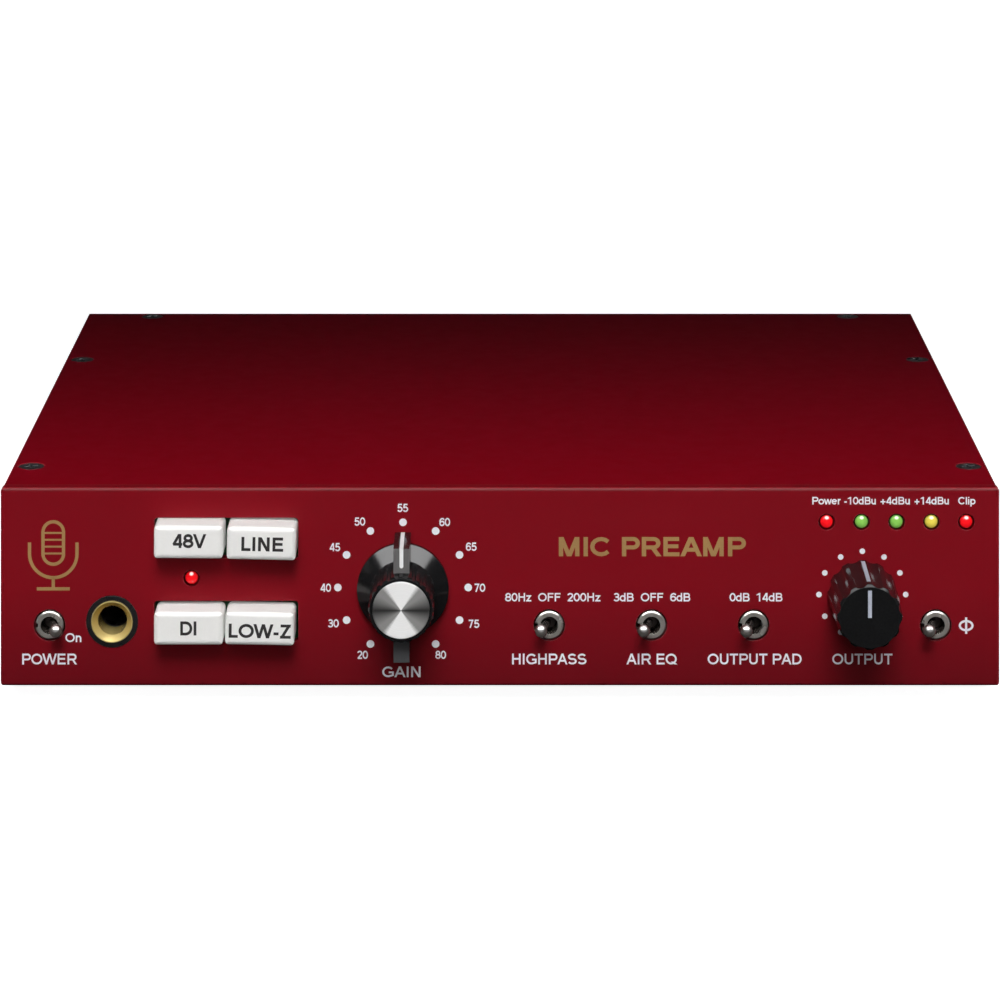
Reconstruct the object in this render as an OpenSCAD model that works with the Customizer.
// Microphone preamp: a half-rack metal case with a thick front panel, two knobs, five toggle
// switches, four latching push buttons, six lamps and an instrument jack, two circuit boards
// inside, and the microphone, line and power connectors on the rear panel.
// Lengths are in millimetres. X runs along the panel, Y from front to rear, Z up.
// The drawing is made with Y = 0 on the panel's front face and Z = 0 under the feet, then every
// piece is seated so that the origin lies under the middle of the whole outline.

/* [Case] */
// width of the front panel
panel_w = 219; // [218.5:0.1:222]
// height of the front panel
panel_h = 43.5; // [43.3:0.1:44.4]
// thickness of the front panel
panel_t = 3; // [2.8:0.1:3.4]
// radius along the front edges of the panel
panel_edge = 0.8; // [0.4:0.1:1.2]
// width of the case behind the panel
case_w = 218; // [217.6:0.1:218.4]
// depth from the panel's front face to the rear edge of the case
case_d = 180; // [178:1:230]
// thickness of the bent sheet of the tray and the rear panel
sheet_t = 1.2; // [1:0.1:1.3]
// thickness of the lid
lid_t = 1.5; // [1.5:0.1:1.6]
// height of the rubber feet below the panel's lower edge
foot_h = 4; // [3:0.5:6]
// radius of a rubber foot where it meets the case
foot_r = 8; // [7:0.5:10]

/* [Toggles] */
// height of the toggles above the panel's lower edge
toggle_up = 13.4; // [13:0.1:14]
// outer diameter of a toggle's bushing
bushing_d = 6.2; // [6:0.1:6.4]
// angle of a lever from straight out, when it rests in an end position
lever_tilt = 12.5; // [8:0.5:12.5]
// distance from a lever's pivot to the centre of its round tip
lever_l = 8.7; // [7:0.1:10]

/* [Buttons] */
// width of a button cap
cap_w = 15.1; // [14.4:0.1:15.1]
// height of a button cap
cap_h = 7.15; // [6.6:0.05:7.15]
// how far a cap stands out of the panel
cap_out = 6.3; // [5:0.1:7]
// width of the window that a pair of caps stands in
window_w = 31.6; // [31.6:0.1:32]
// height of that window
window_h = 8.95; // [8.95:0.05:9.4]

/* [Knobs] */
// how far both knobs reach in front of the panel
knob_out = 17.6; // [17:0.1:19]
// radius of the gain knob's skirt
skirt_r = 10.05; // [9.8:0.05:10.8]
// radius of the gain knob's fluted grip
grip_r = 7.1; // [7:0.05:7.4]
// flutes round that grip
flutes = 24; // [18:2:28]
// radius that the gain knob's two fins reach
fin_r = 12.25; // [11.5:0.05:12.6]
// width of a fin
fin_w = 3.45; // [3:0.05:4]
// distance of the fins' fronts from the panel
fin_out = 14; // [13:0.1:15]
// radius of the output knob at the panel
output_r = 7.7; // [7.4:0.05:8]
// radius of the output knob at its front
output_front_r = 7.05; // [6.9:0.05:7.3]
// scallops round the output knob
scallops = 12; // [10:1:14]

/* [Lamps] */
// radius of a lamp's round lens
lamp_r = 1.5; // [1.4:0.05:1.55]
// distance between two lamps of the level meter
lamp_pitch = 7.65; // [7.5:0.05:7.65]

/* [Sockets] */
// radius of the bore of a quarter-inch jack
jack_r = 3.2; // [3.2:0.01:3.25]
// length of that bore
jack_l = 27; // [25:0.5:28]
// radius of the ring-shaped gap's outer wall in the microphone socket
xlr_bore_r = 9.6; // [9.5:0.05:9.8]
// radius of the cavity in the output connector
xlr_cavity_r = 8; // [7.9:0.05:8.2]

/* [Hidden] */
$fn = 64;

// clearances
slack = 0.1;         // between a piece and the opening it drops into
thread_gap = 0.05;   // between a screw and the thread it turns in
turn_gap = 0.05;     // between a shaft or pivot and the bore it turns in

// heights
floor_z = foot_h + 0.15;                  // underside of the tray, just above the panel's lower edge
floor_top = floor_z + sheet_t;
lid_z = foot_h + panel_h - 0.15 - lid_t;  // underside of the lid
toggle_z = foot_h + toggle_up;
jack_z = foot_h + 14.2;
board_top = jack_z - 7.5;                 // the jack bodies stand on the main board
board_t = 1.6;
xlr_z = foot_h + panel_h / 2;

// fore and aft
rear_out = case_d - 0.2;                  // outer face of the rear panel
rear_in = rear_out - sheet_t;
front_board_y = 15;                       // front face of the upright board
flange_t = 2;                             // flange of the microphone and output connectors
head_t = 1.9;                             // height of a pan head
rear_reach = rear_out + flange_t + head_t;
mid_y = (rear_reach - knob_out) / 2;

// places along the front panel: x, and height above the panel's lower edge
toggle_x = [-98.7, 10.8, 33.2, 55.6, 95.5];
di_x = -85;
di_half = 6.6;       // half the width of the instrument jack's body
gain_x = -21.25;
gain_z = foot_h + 21.65;
output_x = 79.4;
output_z = foot_h + 20.1;
window_x = -60;
window_up = [32.45, 14.25];
// each cap: x, height above the panel's lower edge, and its slight twist in degrees
caps = [[-67.8, 33.15, 0.4], [-51.95, 32.85, 1.2], [-67.8, 14.35, 0], [-52.3, 14.3, 1]];
meter_x = [for (i = [0:4]) 71.6 + i * lamp_pitch];
meter_z = foot_h + 36;
phantom_x = -67.6;
phantom_z = foot_h + 23.7;
lamp_hole_r = 1.8;

// places along the rear panel
mic_x = -70;
jack_x = [-36, -14, 8, 30];
out_x = 62;
inlet_x = 92;
xlr_screw = [9.5, 12];

// screws
screw_r = 1.5;
clear_r = 1.7;
wall = case_w / 2;
lid_holes = [[-105, 19.5], [105, 19.5], [-105, 126], [105, 126], [-92, case_d - 3.2], [92, case_d - 3.2]];
panel_holes = [for (sx = [-1, 1], z = [10, 28]) [sx * 104.8, z]];
board_holes = [[-98, 26], [98, 26], [-98, 100], [98, 100], [-50, case_d - 13], [43.5, case_d - 13]];
front_holes = [[-88, 38], [44, 38], [-38.5, 12], [66.5, 12]];
sill_holes = [-80, 0, 80];
sill_y = rear_in - 4.1;
feet = [for (sx = [-1, 1], y = [28, case_d - 25]) [sx * 83, y]];

red = [0.45, 0.04, 0.08];
steel = [0.75, 0.75, 0.76];
black = [0.04, 0.04, 0.045];
white = [0.9, 0.89, 0.86];
gold = [0.8, 0.62, 0.3];
green = [0.05, 0.25, 0.12];

// ---- building shapes ----

// moves the drawing so that the origin lies under the middle of the outline
module seat() {
    translate([0, -mid_y, 0])
        children();
}

module block(x0, x1, y0, y1, z0, z1) {
    translate([x0, y0, z0])
        cube([x1 - x0, y1 - y0, z1 - z0]);
}

// a round bar along Y, which may taper from r0 at y0 to r1 at y1
module bar(x, z, y0, y1, r0, r1) {
    translate([x, y0, z])
        rotate([-90, 0, 0])
            cylinder(h = y1 - y0, r1 = r0, r2 = r1);
}

module post(x, y, z0, z1, r) {
    translate([x, y, z0])
        cylinder(h = z1 - z0, r = r);
}

// a flat shape drawn in X and Z, from y0 back to y1
module upright(y0, y1) {
    translate([0, y1, 0])
        rotate([90, 0, 0])
            linear_extrude(y1 - y0)
                children();
}

module round_rect(w, h, r) {
    square([w - 2 * r, h], center = true);
    square([w, h - 2 * r], center = true);
    for (sx = [-1, 1], sy = [-1, 1])
        translate([sx * (w / 2 - r), sy * (h / 2 - r)])
            circle(r);
}

// half of that shape: round corners on its lower side only
module round_front(w, d, r) {
    translate([-w / 2, r])
        square([w, d - r]);
    translate([-w / 2 + r, 0])
        square([w - 2 * r, d]);
    for (sx = [-1, 1])
        translate([sx * (w / 2 - r), r])
            circle(r);
}

// a block with a rounded front: corner for its outline seen from the front, edge for its front edges
module soft_block(w, h, y0, y1, corner, edge) {
    intersection() {
        upright(y0, y1)
            round_rect(w, h, corner);
        translate([0, y0, -h / 2])
            linear_extrude(h)
                round_front(w, y1 - y0, edge);
        translate([-w / 2, y0, 0])
            rotate([0, 90, 0])
                linear_extrude(w)
                    round_front(h, y1 - y0, edge);
    }
}

// the outline of a connector flange round its bore
module flange_shape(bore) {
    difference() {
        round_rect(26, 31, 2);
        circle(bore);
    }
}

// a screw along Z with its head above 0, a cross recess, and a shank of length l below 0
module pan_screw(l) {
    difference() {
        union() {
            cylinder(h = 1.1, r = 2.8);
            translate([0, 0, 1.1])
                cylinder(h = head_t - 1.1, r1 = 2.8, r2 = 2.1);
            translate([0, 0, -l])
                cylinder(h = l, r = screw_r);
        }
        cross_recess(head_t, 1.1);
    }
}

// a cross cut into a screw's head from height z down by depth
module cross_recess(z, depth) {
    for (a = [0, 90])
        rotate(a)
            translate([-1.5, -0.35, z - depth])
                cube([3, 0.7, depth + 1]);
}

module hex_nut(x, z, y0, y1, flats, bore) {
    difference() {
        translate([x, y0, z])
            rotate([-90, 0, 0])
                cylinder(h = y1 - y0, d = flats / cos(30), $fn = 6);
        bar(x, z, y0 - 1, y1 + 1, bore, bore);
    }
}

// ---- case ----

module front_panel() {
    color(red) seat()
        difference() {
            translate([0, 0, foot_h + panel_h / 2])
                soft_block(panel_w, panel_h, 0, panel_t, 1, panel_edge);
            for (x = toggle_x)
                bar(x, toggle_z, -1, panel_t + 1, 3.45, 3.45);
            for (x = meter_x)
                bar(x, meter_z, -1, panel_t + 1, lamp_hole_r, lamp_hole_r);
            bar(phantom_x, phantom_z, -1, panel_t + 1, lamp_hole_r, lamp_hole_r);
            bar(di_x, jack_z, -1, panel_t + 1, 5.7, 5.7);
            bar(gain_x, gain_z, -1, panel_t + 1, 4.8, 4.8);
            bar(output_x, output_z, -1, panel_t + 1, 3.6, 3.6);
            for (up = window_up)
                translate([window_x, 0, foot_h + up])
                    upright(-1, panel_t + 1)
                        round_rect(window_w, window_h, 0.8);
            // blind threads on the back, for the tray and for the upright board
            for (p = concat(panel_holes, front_holes))
                bar(p[0], p[1], 0.8, panel_t + 1, screw_r + thread_gap, screw_r + thread_gap);
        }
}

module base_tray() {
    side_top = lid_z;
    color(red) seat()
        difference() {
            union() {
                block(-wall, wall, panel_t, case_d, floor_z, floor_top);
                for (s = [0, 1])
                    mirror([s, 0, 0]) {
                        block(wall - sheet_t, wall, panel_t, case_d, floor_z, side_top);
                        block(wall - 8, wall, 5, rear_in - 0.6, side_top - sheet_t, side_top);
                        block(101.95, wall, panel_t, panel_t + sheet_t, floor_z, 33);
                    }
            }
            for (p = [for (i = [0:3]) lid_holes[i]])
                post(p[0], p[1], side_top - 2, side_top + 1, screw_r + thread_gap);
            for (p = panel_holes)
                bar(p[0], p[1], panel_t - 1, panel_t + 3, clear_r, clear_r);
            for (p = feet)
                post(p[0], p[1], floor_z - 1, floor_top + 1, screw_r + thread_gap);
            for (p = board_holes)
                post(p[0], p[1], floor_z - 1, floor_top + 1, 2.5 + thread_gap);
            for (x = sill_holes)
                post(x, sill_y, floor_z - 1, floor_top + 1, clear_r);
        }
}

module rear_panel() {
    low = floor_top + slack;
    high = lid_z - slack;
    color(red) seat()
        difference() {
            union() {
                block(-wall + sheet_t + 0.2, wall - sheet_t - 0.2, rear_in, rear_out, low, high);
                block(-99, 99, rear_in - 7.6, rear_out, high - sheet_t, high);
                block(-99, 99, rear_in - 7.6, rear_out, low, low + sheet_t);
            }
            for (p = [lid_holes[4], lid_holes[5]])
                post(p[0], p[1], high - 2, high + 1, screw_r + thread_gap);
            for (x = sill_holes)
                post(x, sill_y, low - 1, low + 2, screw_r + thread_gap);
            for (x = [mic_x, out_x])
                translate([x, 0, xlr_z]) {
                    bar(0, 0, rear_in - 1, rear_out + 1, 12, 12);
                    for (s = [-1, 1])
                        bar(s * xlr_screw[0], s * xlr_screw[1], rear_in - 1, rear_out + 1,
                            screw_r + thread_gap, screw_r + thread_gap);
                }
            // room above the microphone socket for its latch
            translate([mic_x, 0, xlr_z])
                block(-5, 5, rear_in - 1, rear_out + 1, 10, 14.6);
            for (x = jack_x)
                bar(x, jack_z, rear_in - 1, rear_out + 1, 4.8, 4.8);
            bar(inlet_x, board_top + 5.5, rear_in - 1, rear_out + 1, 4, 4);
        }
}

module lid() {
    color(red) seat()
        difference() {
            block(-wall, wall, panel_t + slack, case_d, lid_z, lid_z + lid_t);
            for (p = lid_holes)
                translate([p[0], p[1], lid_z]) {
                    translate([0, 0, -1])
                        cylinder(h = lid_t + 2, r = clear_r);
                    translate([0, 0, lid_t - 1.4])
                        cylinder(h = 2.4, r1 = 1.6, r2 = 4);
                }
        }
}

// countersunk screws that hold the lid down
module lid_screws() {
    color(black) seat()
        for (p = lid_holes)
            translate([p[0], p[1], lid_z + lid_t])
                difference() {
                    union() {
                        translate([0, 0, -1.35])
                            cylinder(h = 1.3, r1 = screw_r, r2 = 2.8);
                        translate([0, 0, -8])
                            cylinder(h = 7, r = screw_r);
                    }
                    rotate(20)
                        cross_recess(0, 0.9);
                }
}

// screws of one kind: panel, main board, upright board, rear panel and connectors
module pan_head_screws() {
    color(steel) seat() {
        for (p = panel_holes)
            translate([p[0], panel_t + sheet_t, p[1]])
                rotate([-90, 0, 0])
                    pan_screw(3);
        for (p = board_holes)
            translate([p[0], p[1], board_top])
                pan_screw(4);
        for (p = front_holes)
            translate([p[0], front_board_y + board_t, p[1]])
                rotate([-90, 0, 0])
                    pan_screw(4);
        for (x = sill_holes)
            translate([x, sill_y, floor_z])
                rotate([180, 0, 0])
                    pan_screw(3.5);
        for (x = [mic_x, out_x], s = [-1, 1])
            translate([x + s * xlr_screw[0], rear_out + flange_t, xlr_z + s * xlr_screw[1]])
                rotate([-90, 0, 0])
                    pan_screw(4);
    }
}

module rubber_feet() {
    color(black) seat()
        for (p = feet)
            difference() {
                translate([p[0], p[1], 0])
                    cylinder(h = floor_z, r1 = foot_r - 0.8, r2 = foot_r);
                post(p[0], p[1], -1, floor_z - 2, 3.3);
                post(p[0], p[1], -1, floor_z + 1, clear_r);
            }
}

module foot_screws() {
    color(steel) seat()
        for (p = feet)
            translate([p[0], p[1], floor_z - 2])
                rotate([180, 0, 0])
                    difference() {
                        union() {
                            cylinder(h = 1.6, r1 = 2.8, r2 = 2.3);
                            translate([0, 0, -5])
                                cylinder(h = 5, r = screw_r);
                        }
                        cross_recess(1.6, 0.9);
                    }
}

// ---- boards ----

module main_board() {
    color(green) seat()
        difference() {
            block(-103, 103, 19, case_d - 4, board_top - board_t, board_top);
            for (p = board_holes)
                post(p[0], p[1], board_top - 3, board_top + 1, clear_r);
        }
}

// hexagonal pillars under the main board, and between the panel and the upright board
module standoffs() {
    bottom = floor_top;
    top = board_top - board_t;
    color(gold) seat() {
        for (p = board_holes)
            difference() {
                union() {
                    translate([p[0], p[1], bottom])
                        cylinder(h = top - bottom, d = 5.5 / cos(30), $fn = 6);
                    post(p[0], p[1], floor_z, bottom, 2.5);
                }
                post(p[0], p[1], floor_z + 0.4, top + 1, screw_r + thread_gap);
            }
        for (p = front_holes)
            difference() {
                union() {
                    translate([p[0], panel_t, p[1]])
                        rotate([-90, 0, 0])
                            cylinder(h = front_board_y - panel_t, d = 5.5 / cos(30), $fn = 6);
                    bar(p[0], p[1], 1, panel_t, screw_r, screw_r);
                }
                bar(p[0], p[1], 9, front_board_y + 1, screw_r + thread_gap, screw_r + thread_gap);
            }
    }
}

// the upright board that carries the switches, the lamps and both controls
module front_board() {
    color(green) seat()
        difference() {
            block(-104, 104, front_board_y, front_board_y + board_t, 7, lid_z - 2.4);
            for (p = front_holes)
                bar(p[0], p[1], front_board_y - 1, front_board_y + 3, clear_r, clear_r);
            block(di_x - di_half - 0.2, di_x + di_half + 0.2, front_board_y - 1, front_board_y + 3,
                  6, jack_z + 7.7);
        }
}

module ribbon_cable() {
    color([0.6, 0.6, 0.62]) seat()
        translate([-6, 0, 0])
            rotate([90, 0, 90])
                linear_extrude(22)
                    polygon([[22, 32.5], [28, 32.5], [33.5, 27], [33.5, board_top + 7],
                             [34.5, board_top + 7], [34.5, 27.4], [28.4, 33.5], [22, 33.5]]);
}

module ribbon_headers() {
    color(black) seat() {
        block(-8, 18, front_board_y + board_t, 22, 30, 36);
        block(-8, 18, 31, 37, board_top, board_top + 7);
    }
}

module input_transformer() {
    color(steel) seat() {
        post(-68, case_d - 55, board_top, board_top + 26, 14);
        translate([-68, case_d - 55, board_top + 26])
            cylinder(h = 1.5, r1 = 14, r2 = 12);
    }
}

// steel laminations with two windows
module transformer_core() {
    y = case_d - 62;
    color([0.35, 0.35, 0.37]) seat()
        difference() {
            block(44, 84, y - 17, y + 17, 17, 33);
            for (x = [52, 70])
                block(x, x + 6, y - 11, y + 11, 16, 34);
        }
}

// the winding round the middle leg of the laminations
module transformer_coil() {
    y = case_d - 62;
    color([0.75, 0.6, 0.15]) seat()
        difference() {
            block(52.2, 75.8, y - 10.8, y + 10.8, board_top, 38.8);
            block(57.9, 70.1, y - 12, y + 12, 16.9, 33.1);
        }
}

module reservoir_capacitors() {
    color([0.06, 0.07, 0.12]) seat()
        for (p = [[18, 62], [18, 42], [-2, 52]])
            translate([p[0], case_d - p[1], board_top]) {
                cylinder(h = 24, r = 8);
                translate([0, 0, 24])
                    cylinder(h = 0.8, r1 = 8, r2 = 7.3);
            }
}

module small_capacitors() {
    color([0.05, 0.1, 0.2]) seat()
        for (x = [-80, -60, -40, 40, 60, 80], y = [46, 74])
            post(x, y, board_top, board_top + 11, 4);
}

module film_capacitors() {
    color([0.6, 0.1, 0.08]) seat()
        for (x = [-70, -50, -30, 30, 50, 70])
            block(x - 6, x + 6, 58, 64, board_top, board_top + 11);
}

// three-legged regulators, screwed flat against their heatsinks
module regulators() {
    color(black) seat()
        for (y = [case_d - 45, case_d - 75]) {
            block(-35, -25, y - 4.5, y, board_top + 4, board_top + 19);
            for (x = [-32.5, -30, -27.5])
                block(x - 0.4, x + 0.4, y - 2.5, y - 2, board_top, board_top + 4);
        }
}

module heatsinks() {
    color([0.1, 0.1, 0.11]) seat()
        for (y = [case_d - 45, case_d - 75]) {
            block(-42, -18, y, y + 2.5, board_top, board_top + 25);
            for (x = [-42:4:-18])
                block(min(x, -19.2), min(x, -19.2) + 1.2, y + 2.5, y + 10, board_top, board_top + 25);
        }
}

// resistors lying on the main board on their two bent leads
module resistors() {
    color([0.25, 0.45, 0.6]) seat()
        for (x = [-66, -44, -22, 0, 22, 44, 66], y = [84, 90])
            translate([x, y, board_top + 1.6]) {
                rotate([0, 90, 0])
                    cylinder(h = 6.4, r = 1.2, center = true);
                rotate([0, 90, 0])
                    cylinder(h = 10, r = 0.3, center = true);
                for (s = [-4.7, 4.7])
                    translate([s, 0, -1.6])
                        cylinder(h = 1.6, r = 0.3);
            }
}

module transistors() {
    color(black) seat()
        for (x = [-50, -20, 26, 50], y = [36, 68])
            translate([x, y + 2, board_top]) {
                difference() {
                    translate([0, 0, 3])
                        cylinder(h = 4.6, r = 2.4);
                    translate([-3, -4.4, 2])
                        cube([6, 3, 7]);
                }
                for (s = [-1.27, 0, 1.27])
                    translate([s - 0.2, -0.2, 0])
                        cube([0.4, 0.4, 3.2]);
            }
}

// ---- toggles ----

// the body behind each toggle's bushing, with the pocket that the lever's tail swings in
module toggle_bodies() {
    color([0.45, 0.05, 0.05]) seat()
        for (x = toggle_x)
            translate([x, 0, toggle_z])
                difference() {
                    block(-6.5, 6.5, 6.5, front_board_y, -3.45, 3.45);
                    block(-3, 3, 6, 10, -1.5, 1.5);
                }
}

// a plated bushing with a groove down its left side, on a plate that closes the body
module toggle_bushings() {
    color(steel) seat()
        for (x = toggle_x)
            translate([x, 0, toggle_z])
                difference() {
                    union() {
                        bar(0, 0, 0, 6.5, bushing_d / 2, bushing_d / 2);
                        bar(0, 0, -0.3, 0, bushing_d / 2 - 0.3, bushing_d / 2);
                        block(-6.5, 6.5, 6, 6.5, -3.45, 3.45);
                    }
                    bar(0, 0, -1, 7, 1.95, 1.95);
                    block(-4, -2.5, -1, 6, -0.45, 0.45);
                }
}

// a lever on its ball, leaning by tilt degrees to the right
module lever(x, tilt) {
    pivot_y = 4;
    color(steel) seat()
        translate([x, pivot_y, toggle_z])
            rotate([0, 0, tilt]) {
                sphere(1.95 - turn_gap);
                bar(0, 0, -4.9, -1, 0.9, 0.8);
                bar(0, 0, -lever_l, -4.9, 1.25, 0.9);
                translate([0, -lever_l, 0])
                    sphere(1.4);
                bar(0, 0, 1, 4.2, 0.7, 0.7);
            }
}

module power_lever() {
    lever(toggle_x[0], lever_tilt);
}

module highpass_lever() {
    lever(toggle_x[1], -lever_tilt);
}

module air_lever() {
    lever(toggle_x[2], -lever_tilt);
}

module pad_lever() {
    lever(toggle_x[3], -lever_tilt);
}

module phase_lever() {
    lever(toggle_x[4], -lever_tilt);
}

// ---- buttons ----

// latching switches behind the caps, each with a square hole for its cap's stem
module push_switches() {
    color(black) seat()
        for (c = caps)
            translate([c[0], 0, foot_h + c[1]])
                rotate([0, c[2], 0])
                    difference() {
                        block(-3.9, 3.9, 6.2, front_board_y, -3.9, 3.9);
                        block(-1.3, 1.3, 6, 12.5, -1.3, 1.3);
                    }
}

// a hollow cap with a rounded front, on the stem that works the switch
module button(c) {
    rear = 2.2;
    skin = 1.2;
    color(white) seat()
        translate([c[0], 0, foot_h + c[1]])
            rotate([0, c[2], 0]) {
                difference() {
                    soft_block(cap_w, cap_h, -cap_out, rear, 1.1, 1.1);
                    block(-cap_w / 2 + skin, cap_w / 2 - skin, -cap_out + 1.5, rear + 1,
                          -cap_h / 2 + skin, cap_h / 2 - skin);
                }
                block(-1.25, 1.25, -cap_out + 1, 9, -1.25, 1.25);
            }
}

module phantom_button() {
    button(caps[0]);
}

module line_button() {
    button(caps[1]);
}

module instrument_button() {
    button(caps[2]);
}

module impedance_button() {
    button(caps[3]);
}

// ---- gain control ----

// the rotary switch: a round body behind the panel and the bushing that comes through it
module gain_switch() {
    color([0.15, 0.15, 0.3]) seat()
        difference() {
            union() {
                bar(gain_x, gain_z, panel_t, front_board_y, 13, 13);
                bar(gain_x, gain_z, -2.3, panel_t, 4.7, 4.7);
            }
            bar(gain_x, gain_z, -3, 12, 3 + turn_gap, 3 + turn_gap);
        }
}

module gain_shaft() {
    color(steel) seat()
        bar(gain_x, gain_z, -14, 11.9, 3, 3);
}

// the white line inlaid along the upper fin: over its outer end, then down its front
module pointer_line() {
    half = 0.42;
    tip = fin_r - 3.75;
    face = -fin_out - 0.04;
    block(-half, half, face, -0.8, fin_r - 0.25, fin_r + 0.04);
    block(-half, half, face, face + 0.3, tip, fin_r);
    bar(0, tip, face, face + 0.3, half, half);
}

// skirt, fluted grip and two fins in one moulding
module gain_knob() {
    color(black) seat()
        translate([gain_x, 0, gain_z])
            difference() {
                union() {
                    bar(0, 0, -1.8, -0.5, skirt_r, skirt_r);
                    bar(0, 0, -4.5, -1.8, grip_r, skirt_r);
                    difference() {
                        union() {
                            bar(0, 0, -knob_out + 0.9, -1, grip_r, grip_r);
                            bar(0, 0, -knob_out + 0.3, -knob_out + 0.9, grip_r - 0.35, grip_r);
                        }
                        for (i = [0:flutes - 1])
                            rotate([0, (i + 0.5) * 360 / flutes, 0])
                                bar(0, grip_r + 0.3, -knob_out - 1, -3.6, 0.62, 0.62);
                    }
                    block(-fin_w / 2, fin_w / 2, -fin_out, -0.6, -fin_r, fin_r);
                }
                bar(0, 0, -2.6, 0, 7.2, 7.2);
                bar(0, 0, -14.2, 0, 3.02, 3.02);
                bar(0, 0, -knob_out - 1, -knob_out + 0.9, 6.15, 6.15);
                pointer_line();
            }
}

// the turned metal disc let into the front of the grip, very slightly domed
module gain_cap() {
    color(steel) seat()
        translate([gain_x, 0, gain_z]) {
            bar(0, 0, -knob_out + 0.15, -knob_out + 0.9, 6.12, 6.12);
            bar(0, 0, -knob_out, -knob_out + 0.15, 5.95, 6.12);
        }
}

module gain_line() {
    color(white) seat()
        translate([gain_x, 0, gain_z])
            pointer_line();
}

// ---- output control ----

module output_pot() {
    color([0.1, 0.2, 0.12]) seat()
        difference() {
            union() {
                bar(output_x, output_z, panel_t, front_board_y, 8.4, 8.4);
                bar(output_x, output_z, -2.2, panel_t, 3.5, 3.5);
            }
            bar(output_x, output_z, -3, 12, 3 + turn_gap, 3 + turn_gap);
        }
}

module output_shaft() {
    color(steel) seat()
        bar(output_x, output_z, -14, 11.9, 3, 3);
}

// the white line inlaid across the knob's front from its centre, and down its side
module output_stripe() {
    half = 0.42;
    run = knob_out - 1.7;
    lean = atan((output_r - output_front_r) / run);
    block(-half, half, -knob_out, -knob_out + 0.3, 0, 5.85);
    translate([0, -0.7, output_r - 0.2])
        rotate([lean, 0, 0])
            block(-half, half, -run + 1.5, -0.7, -0.1, 0.23);
}

// a tapered grip with scallops all round and a flat disc for a front
module output_knob() {
    run = knob_out - 1.2;
    lean = atan((output_r - output_front_r) / run);
    bevel = 0.5;
    bevel_end = -knob_out + 0.03 + bevel;
    color(black) seat()
        translate([output_x, 0, output_z])
            difference() {
                union() {
                    bar(0, 0, bevel_end, -0.5, output_front_r, output_r);
                    bar(0, 0, -knob_out + 0.03, bevel_end, output_front_r - bevel, output_front_r);
                }
                for (i = [0:scallops - 1])
                    rotate([0, (i + 0.5) * 360 / scallops, 0])
                        translate([0, -0.5, output_r + 1.95])
                            rotate([lean, 0, 0])
                                bar(0, 0, -knob_out - 1, 1, 2.4, 2.4);
                bar(0, 0, -2.6, 0, 6.3, 6.3);
                bar(0, 0, -14.2, 0, 3.02, 3.02);
                output_stripe();
            }
}

module output_line() {
    color(white) seat()
        translate([output_x, 0, output_z])
            output_stripe();
}

// the nuts that hold both controls to the panel, hidden under the knobs
module control_nuts() {
    color(steel) seat() {
        hex_nut(gain_x, gain_z, -1.9, 0, 11.8, 4.75);
        hex_nut(output_x, output_z, -1.9, 0, 10, 3.55);
    }
}

// ---- lamps ----

// a lamp: round lens with a domed end, a rim at its back and two leads to the upright board
module lamp(x, z) {
    dome = lamp_r - 0.6;
    bar(x, z, dome, 4.5, lamp_r, lamp_r);
    translate([x, dome, z])
        rotate([90, 0, 0])
            sphere(lamp_r);
    bar(x, z, 4.5, 5.5, 1.9, 1.9);
    for (s = [-1, 1])
        block(x + s * 1.27 - 0.25, x + s * 1.27 + 0.25, 5.5, front_board_y, z - 0.25, z + 0.25);
}

module red_lamps() {
    color([0.9, 0.05, 0.05]) seat() {
        lamp(phantom_x, phantom_z);
        lamp(meter_x[0], meter_z);
        lamp(meter_x[4], meter_z);
    }
}

module green_lamps() {
    color([0.1, 0.8, 0.15]) seat() {
        lamp(meter_x[1], meter_z);
        lamp(meter_x[2], meter_z);
    }
}

module yellow_lamp() {
    color([0.95, 0.8, 0.1]) seat()
        lamp(meter_x[3], meter_z);
}

// spacers that hold the lamps off the upright board
module lamp_spacers() {
    places = concat([[phantom_x, phantom_z]], [for (x = meter_x) [x, meter_z]]);
    color(black) seat()
        for (p = places)
            difference() {
                bar(p[0], p[1], 5.5, front_board_y, 2.3, 2.3);
                for (s = [-1, 1])
                    block(p[0] + s * 1.27 - 0.35, p[0] + s * 1.27 + 0.35, 5, front_board_y + 1,
                          p[1] - 0.35, p[1] + 0.35);
            }
}

// ---- jacks and connectors ----

// the instrument jack's moulded body, whose round nose fills the hole in the panel
module di_jack() {
    color(black) seat()
        difference() {
            union() {
                block(di_x - di_half, di_x + di_half, panel_t, jack_l + 3, board_top, jack_z + 7.5);
                bar(di_x, jack_z, -0.2, panel_t, 5.65, 5.65);
            }
            bar(di_x, jack_z, -1, 7, 4.6, 4.6);
            bar(di_x, jack_z, 6, jack_l + 0.5, jack_r, jack_r);
        }
}

// the plated ring in its mouth, with a wide chamfer
module di_ring() {
    color(gold) seat()
        difference() {
            bar(di_x, jack_z, -0.5, 7, 4.55, 4.55);
            bar(di_x, jack_z, -1, 8, jack_r, jack_r);
            bar(di_x, jack_z, -1, 1, 4.2 + 0.5, jack_r);
        }
}

module rear_jacks() {
    mouth = rear_out + 3.2;
    color(black) seat()
        for (x = jack_x)
            difference() {
                union() {
                    block(x - 8, x + 8, mouth - jack_l - 2, rear_in, board_top, jack_z + 7.5);
                    bar(x, jack_z, rear_in, mouth, 4.7, 4.7);
                }
                bar(x, jack_z, mouth - jack_l, mouth + 1, jack_r, jack_r);
            }
}

module jack_nuts() {
    color(steel) seat()
        for (x = jack_x)
            hex_nut(x, jack_z, rear_out, rear_out + 2.4, 14, 4.75);
}

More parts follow.
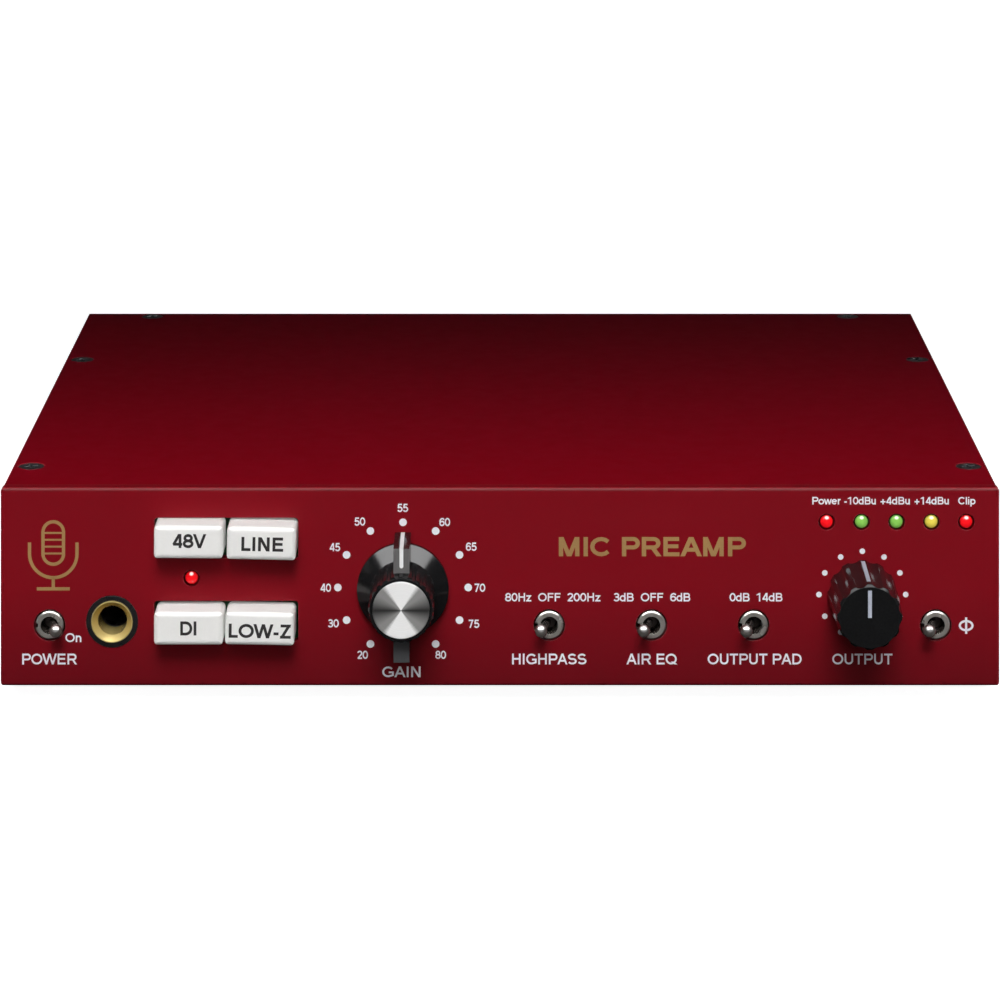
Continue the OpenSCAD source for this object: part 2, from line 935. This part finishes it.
// the microphone socket's metal shell, with a slot above for the latch
module mic_shell() {
    color(steel) seat()
        translate([mic_x, 0, xlr_z])
            difference() {
                union() {
                    upright(rear_out, rear_out + flange_t)
                        flange_shape(xlr_bore_r);
                    bar(0, 0, rear_out - 20, rear_out, 11.8, 11.8);
                }
                bar(0, 0, rear_out - 21, rear_out + 3, xlr_bore_r, xlr_bore_r);
                for (s = [-1, 1])
                    bar(s * xlr_screw[0], s * xlr_screw[1], rear_out - 1, rear_out + 3, clear_r, clear_r);
                block(-4.6, 4.6, rear_out - 2.5, rear_out + 3, 11, 14.3);
                block(-3.1, 3.1, rear_out - 16, rear_out + 1, 8, 14.3);
            }
}

// the socket's moulded insert with three contact holes, and the disc that closes the shell
module mic_insert() {
    r = 3.9;
    color(black) seat()
        translate([mic_x, 0, xlr_z])
            difference() {
                union() {
                    bar(0, 0, rear_out - 18, rear_out + 1.5, 7.4, 7.4);
                    bar(0, 0, rear_out - 20, rear_out - 16.5, xlr_bore_r - 0.05, xlr_bore_r - 0.05);
                }
                for (a = [90, 180, 270])
                    rotate([0, a, 0])
                        bar(0, r, rear_out - 13, rear_out + 3, 1.3, 1.3);
                block(-1.2, 1.2, rear_out - 14, rear_out + 3, 6.2, 8);
            }
}

// the latch: a tab in the flange, an arm over the shell and a hook that reaches into it
module mic_latch() {
    color(steel) seat()
        translate([mic_x, 0, xlr_z]) {
            block(-4.4, 4.4, rear_out + 0.6, rear_out + 3, 11.2, 14.1);
            block(-2.9, 2.9, rear_out - 10, rear_out + 0.6, 12, 13.2);
            block(-2.5, 2.5, rear_out - 10, rear_out - 8, 8.4, 12);
        }
}

// the output connector's shell, open to the rear with a key slot at the top
module output_shell() {
    floor_y = rear_out - 14;
    color(black) seat()
        translate([out_x, 0, xlr_z])
            difference() {
                union() {
                    upright(rear_out, rear_out + flange_t)
                        flange_shape(xlr_cavity_r);
                    bar(0, 0, floor_y - 3, rear_out, 11.8, 11.8);
                }
                bar(0, 0, floor_y, rear_out + 3, xlr_cavity_r, xlr_cavity_r);
                block(-1.2, 1.2, floor_y, rear_out + 3, 7, 9.3);
                for (s = [-1, 1])
                    bar(s * xlr_screw[0], s * xlr_screw[1], rear_out - 1, rear_out + 3, clear_r, clear_r);
                for (a = [90, 180, 270])
                    rotate([0, a, 0])
                        bar(0, 3.9, floor_y - 4, floor_y + 1, 1.2, 1.2);
            }
}

// the output connector's three pins and the power inlet's centre pin
module contact_pins() {
    color(gold) seat() {
        translate([out_x, 0, xlr_z])
            for (a = [90, 180, 270])
                rotate([0, a, 0]) {
                    bar(0, 3.9, rear_out - 22, rear_out - 1.2, 1.15, 1.15);
                    translate([0, rear_out - 1.2, 3.9])
                        sphere(1.15);
                }
        bar(inlet_x, board_top + 5.5, rear_in - 14, rear_in - 1.5, 1, 1);
    }
}

// the round low-voltage power socket on the main board
module power_inlet() {
    z = board_top + 5.5;
    color(black) seat()
        difference() {
            union() {
                block(inlet_x - 4.5, inlet_x + 4.5, rear_in - 14.5, rear_in, board_top, board_top + 11);
                bar(inlet_x, z, rear_in, rear_out, 3.9, 3.9);
            }
            bar(inlet_x, z, rear_in - 11, rear_out + 1, 2.85, 2.85);
            bar(inlet_x, z, rear_in - 14, rear_in - 10, 1.05, 1.05);
        }
}

// ---- what is shown ----

front_panel();
base_tray();
rear_panel();
lid();
lid_screws();
pan_head_screws();
rubber_feet();
foot_screws();
main_board();
standoffs();
front_board();
ribbon_cable();
ribbon_headers();
input_transformer();
transformer_core();
transformer_coil();
reservoir_capacitors();
small_capacitors();
film_capacitors();
regulators();
heatsinks();
resistors();
transistors();
toggle_bodies();
toggle_bushings();
power_lever();
highpass_lever();
air_lever();
pad_lever();
phase_lever();
push_switches();
phantom_button();
line_button();
instrument_button();
impedance_button();
gain_switch();
gain_shaft();
gain_knob();
gain_cap();
gain_line();
output_pot();
output_shaft();
output_knob();
output_line();
control_nuts();
red_lamps();
green_lamps();
yellow_lamp();
lamp_spacers();
di_jack();
di_ring();
rear_jacks();
jack_nuts();
mic_shell();
mic_insert();
mic_latch();
output_shell();
contact_pins();
power_inlet();
